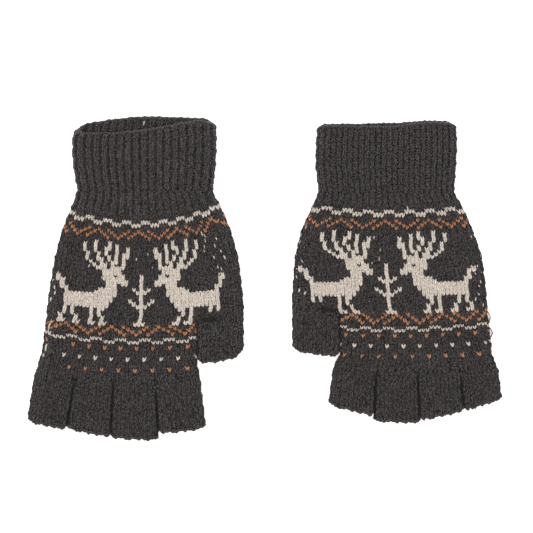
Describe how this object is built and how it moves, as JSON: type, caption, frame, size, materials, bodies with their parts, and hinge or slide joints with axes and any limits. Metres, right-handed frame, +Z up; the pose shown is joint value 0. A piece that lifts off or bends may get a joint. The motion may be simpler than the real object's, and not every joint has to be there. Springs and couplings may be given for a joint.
{
  "type": "pair of fingerless knitted gloves",
  "caption": "Pair of half-finger knitted gloves laid flat, palms up: ribbed cuff, patterned hand, open thumb and open short fingers that curl at their roots.",
  "frame": {"origin": "the middle of the pair's footprint, on the surface they lie on", "axes": "+X from the left glove to the right glove, +Y from the fingers to the cuffs, +Z up out of the palms"},
  "size_m": [0.2784, 0.1884, 0.0086],
  "materials": {
    "knitted_wool": "charcoal heather wool knitted in stocking stitch, with cream and rust pattern yarns on the hand",
    "ribbed_wool": "charcoal heather wool knitted in rib",
    "bind_off_edge": "bound-off wool edge, slightly browner and fuzzier than the knitting"
  },
  "bodies": {
    "left_hand_body": {"left_hand": "knitted_wool"},
    "left_cuff_body": {"left_cuff": "ribbed_wool", "left_cuff_hem": "ribbed_wool"},
    "left_thumb_body": {"left_thumb": "knitted_wool", "left_thumb_edge": "bind_off_edge"},
    "left_index_body": {"left_index": "knitted_wool", "left_index_edge": "bind_off_edge"},
    "left_middle_body": {"left_middle": "knitted_wool", "left_middle_edge": "bind_off_edge"},
    "left_ring_body": {"left_ring": "knitted_wool", "left_ring_edge": "bind_off_edge"},
    "left_little_body": {"left_little": "knitted_wool", "left_little_edge": "bind_off_edge"},
    "right_hand_body": {"right_hand": "knitted_wool"},
    "right_cuff_body": {"right_cuff": "ribbed_wool", "right_cuff_hem": "ribbed_wool"},
    "right_thumb_body": {"right_thumb": "knitted_wool", "right_thumb_edge": "bind_off_edge"},
    "right_index_body": {"right_index": "knitted_wool", "right_index_edge": "bind_off_edge"},
    "right_middle_body": {"right_middle": "knitted_wool", "right_middle_edge": "bind_off_edge"},
    "right_ring_body": {"right_ring": "knitted_wool", "right_ring_edge": "bind_off_edge"},
    "right_little_body": {"right_little": "knitted_wool", "right_little_edge": "bind_off_edge"}
  },
  "joints": [
    {"name": "right_glove_slide", "type": "slide", "parent": "left_hand_body", "child": "right_hand_body", "axis": [1, 0, 0], "range_m": [-0.02, 0.12]},
    {"name": "left_cuff_fold", "type": "hinge", "parent": "left_hand_body", "child": "left_cuff_body", "pos_m": [-0.07, 0.05201, 0.0086], "axis": [1, 0, 0], "range_deg": [0, 70]},
    {"name": "left_thumb_curl", "type": "hinge", "parent": "left_hand_body", "child": "left_thumb_body", "pos_m": [-0.02595, -0.01939, 0.0086], "axis": [-1, 0, 0], "range_deg": [0, 60]},
    {"name": "left_index_curl", "type": "hinge", "parent": "left_hand_body", "child": "left_index_body", "pos_m": [-0.0508, -0.05919, 0.0086], "axis": [-1, 0, 0], "range_deg": [0, 75]},
    {"name": "left_middle_curl", "type": "hinge", "parent": "left_hand_body", "child": "left_middle_body", "pos_m": [-0.07605, -0.05919, 0.0086], "axis": [-1, 0, 0], "range_deg": [0, 75]},
    {"name": "left_ring_curl", "type": "hinge", "parent": "left_hand_body", "child": "left_ring_body", "pos_m": [-0.0998, -0.05919, 0.0086], "axis": [-1, 0, 0], "range_deg": [0, 75]},
    {"name": "left_little_curl", "type": "hinge", "parent": "left_hand_body", "child": "left_little_body", "pos_m": [-0.1233, -0.05919, 0.0086], "axis": [-1, 0, 0], "range_deg": [0, 75]},
    {"name": "right_cuff_fold", "type": "hinge", "parent": "right_hand_body", "child": "right_cuff_body", "pos_m": [0.0716, 0.05061, 0.0086], "axis": [1, 0, 0], "range_deg": [0, 70]},
    {"name": "right_thumb_curl", "type": "hinge", "parent": "right_hand_body", "child": "right_thumb_body", "pos_m": [0.03035, -0.01379, 0.0086], "axis": [-1, 0, 0], "range_deg": [0, 60]},
    {"name": "right_index_curl", "type": "hinge", "parent": "right_hand_body", "child": "right_index_body", "pos_m": [0.0529, -0.05429, 0.0086], "axis": [-1, 0, 0], "range_deg": [0, 75]},
    {"name": "right_middle_curl", "type": "hinge", "parent": "right_hand_body", "child": "right_middle_body", "pos_m": [0.07755, -0.05429, 0.0086], "axis": [-1, 0, 0], "range_deg": [0, 75]},
    {"name": "right_ring_curl", "type": "hinge", "parent": "right_hand_body", "child": "right_ring_body", "pos_m": [0.1021, -0.05429, 0.0086], "axis": [-1, 0, 0], "range_deg": [0, 75]},
    {"name": "right_little_curl", "type": "hinge", "parent": "right_hand_body", "child": "right_little_body", "pos_m": [0.12595, -0.05429, 0.0086], "axis": [-1, 0, 0], "range_deg": [0, 75]}
  ]
}
